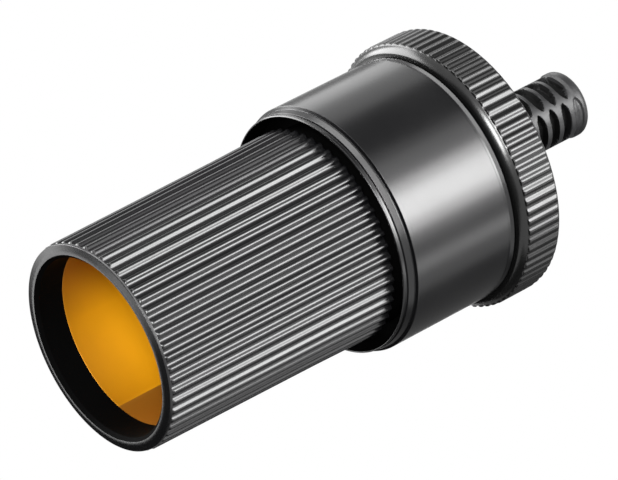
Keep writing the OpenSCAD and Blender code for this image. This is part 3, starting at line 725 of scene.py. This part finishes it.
# width and height are the angles in degrees that a lamp or card fills, and level is its brightness
lamps = dict(
    keyCore=dict(azimuth=13, elevation=30, distance=0.6, width=20, height=24, level=8),
    keyMiddle=dict(azimuth=13, elevation=30, distance=0.61, width=37, height=24, level=8),
    keySkirt=dict(azimuth=8, elevation=31, distance=0.62, width=64, height=22, level=1.3),
    rearSoft=dict(azimuth=-127, elevation=33, distance=0.6, width=22, height=24, level=1.1),
    rearWide=dict(azimuth=-110, elevation=33, distance=0.61, width=50, height=22, level=0.3),
    lowSide=dict(azimuth=-124, elevation=-17, distance=0.6, width=40, height=38, level=9),
    lowLeft=dict(azimuth=-70, elevation=5, distance=0.6, width=56, height=12, level=6),
    lowRight=dict(azimuth=-6, elevation=0, distance=0.6, width=70, height=12, level=6),
    edgeStrip=dict(azimuth=66, elevation=33, distance=0.6, width=10, height=24, level=2.2),
    mouthFill=dict(azimuth=-8, elevation=-36, distance=0.6, width=26, height=18, level=36),
    lipNear=dict(azimuth=187, elevation=-49, distance=0.6, width=9, height=9, level=4),
    lipGlow=dict(azimuth=188, elevation=-31, distance=0.6, width=20, height=10, level=2.5),
)
cards = dict(
    cardRight=dict(azimuth=129, elevation=33, distance=0.7, width=62, height=50, level=0.18),
    cardLeft=dict(azimuth=-152, elevation=33, distance=0.7, width=18, height=50, level=0.35),
    cardFront=dict(azimuth=-62, elevation=36, distance=0.7, width=38, height=42, level=0.22),
    cardLip=dict(azimuth=168, elevation=-10, distance=0.72, width=44, height=32, level=0.02),
    cardUnder=dict(azimuth=156, elevation=-30, distance=0.71, width=40, height=30, level=0.02),
    cardLow=dict(azimuth=120, elevation=-8, distance=0.73, width=54, height=42, level=0.04),
    cardBelow=dict(azimuth=0, elevation=-90, distance=0.74, width=88, height=88, level=0.03),
    cardDeep=dict(azimuth=174, elevation=-45, distance=0.73, width=50, height=16, level=0.03),
)


def towards(azimuth, elevation, distance):
    # azimuth 0 faces -Y, +90 is +X
    a, e = radians(azimuth), radians(elevation)
    return Vector((sin(a) * cos(e), -cos(a) * cos(e), sin(e))) * distance


def faceObject(holder, look):
    place = towards(look["azimuth"], look["elevation"], look["distance"])
    holder.location = lookAt + place
    holder.rotation_euler = (-place).to_track_quat("-Z", "Y").to_euler()
    holder.visible_camera = False


def spanOf(look, key):
    return 2 * look["distance"] * tan(radians(look[key] / 2))


def feltMaterial(name, level):
    # dark felt, drawn as an even faint glow: it only dims what the gloss reflects
    material, tree, _ = startMaterial(name, {})
    felt = addNode(tree, "ShaderNodeEmission", {"Strength": level})
    tree.links.new(felt.outputs["Emission"], tree.nodes["Material Output"].inputs["Surface"])
    return material


for name, look in lamps.items():
    lamp = bpy.data.lights.new(name, "AREA")
    lamp.shape = "RECTANGLE"
    lamp.size, lamp.size_y = spanOf(look, "width"), spanOf(look, "height")
    lamp.energy = look["level"] * pi * lamp.size * lamp.size_y
    holder = bpy.data.objects.new(name, lamp)
    scene.collection.objects.link(holder)
    faceObject(holder, look)

for name, look in cards.items():
    felt = feltMaterial(name + "Felt", look["level"])
    card = flatPlate(name, spanOf(look, "width") / 2, spanOf(look, "height") / 2, felt)
    faceObject(card, look)

# world and floor
studio = dict(backgroundLevel=1.0, ambientLevel=0.35, floorColour="#FFFFFF", floorHalf=2.0, floorDrop=0.0001)


def buildWorld(look):
    # white where the lens or a reflection sees it, softer where it only lights the object
    world = bpy.data.worlds.new("studio")
    scene.world = world
    world.use_nodes = True
    tree = world.node_tree
    path = addNode(tree, "ShaderNodeLightPath")
    seen = addNode(tree, "ShaderNodeMath", {"operation": "MAXIMUM"},
                   {0: path.outputs["Is Camera Ray"], 1: path.outputs["Is Glossy Ray"]})
    seen = addNode(tree, "ShaderNodeMath", {"operation": "MAXIMUM"},
                   {0: seen.outputs["Value"], 1: path.outputs["Is Transmission Ray"]})
    level = addNode(tree, "ShaderNodeMapRange", {
        "To Min": look["ambientLevel"], "To Max": look["backgroundLevel"]}, {"Value": seen.outputs["Value"]})
    background = tree.nodes["Background"]
    background.inputs["Color"].default_value = (1, 1, 1, 1)
    tree.links.new(level.outputs["Result"], background.inputs["Strength"])


def floorPaint(look):
    # matt white paint that shows from above only: the lens below sees the mouth, and light reaches into it
    material, tree, shader = startMaterial("paintedFloor", {
        "Base Color": toLinear(look["floorColour"]), "Roughness": 0.9, "IOR": 1.3})
    path = addNode(tree, "ShaderNodeLightPath")
    side = addNode(tree, "ShaderNodeNewGeometry")
    front = addNode(tree, "ShaderNodeMath", {"operation": "SUBTRACT", 0: 1.0},
                    {1: side.outputs["Backfacing"]})
    shown = addNode(tree, "ShaderNodeMath", {"operation": "MULTIPLY"},
                    {0: front.outputs["Value"], 1: path.outputs["Is Camera Ray"]})
    clear = addNode(tree, "ShaderNodeBsdfTransparent")
    mixed = addNode(tree, "ShaderNodeMixShader", None, {
        0: shown.outputs["Value"], 1: clear.outputs["BSDF"], 2: shader.outputs["BSDF"]})
    tree.links.new(mixed.outputs["Shader"], tree.nodes["Material Output"].inputs["Surface"])
    return material


buildWorld(studio)
floor = flatPlate("floor", studio["floorHalf"], studio["floorHalf"], floorPaint(studio))
floor.location.z = -studio["floorDrop"]
print("stage and light set")

# camera at the photograph's viewing angle, seen from slightly below the mouth's plane
cameraLook = dict(aim=(0, 0, 0.0299), distance=0.5623, elevation=-31.47, roll=62.71, lens=297.5, sensor=36)


def buildCamera(look):
    tilt, roll = radians(look["elevation"]), radians(look["roll"])
    forward = Vector((0, cos(tilt), -sin(tilt)))
    level, rise = Vector((1, 0, 0)), Vector((0, sin(tilt), cos(tilt)))
    right = level * cos(roll) + rise * sin(roll)
    up = rise * cos(roll) - level * sin(roll)
    camera = bpy.data.objects.new("camera", bpy.data.cameras.new("camera"))
    camera.data.lens = look["lens"]
    camera.data.sensor_width = look["sensor"]
    camera.data.clip_start, camera.data.clip_end = 0.01, 20
    turned = Matrix((right, up, -forward)).transposed().to_4x4()
    camera.matrix_world = Matrix.Translation(Vector(look["aim"]) - forward * look["distance"]) @ turned
    scene.collection.objects.link(camera)
    scene.camera = camera


buildCamera(cameraLook)
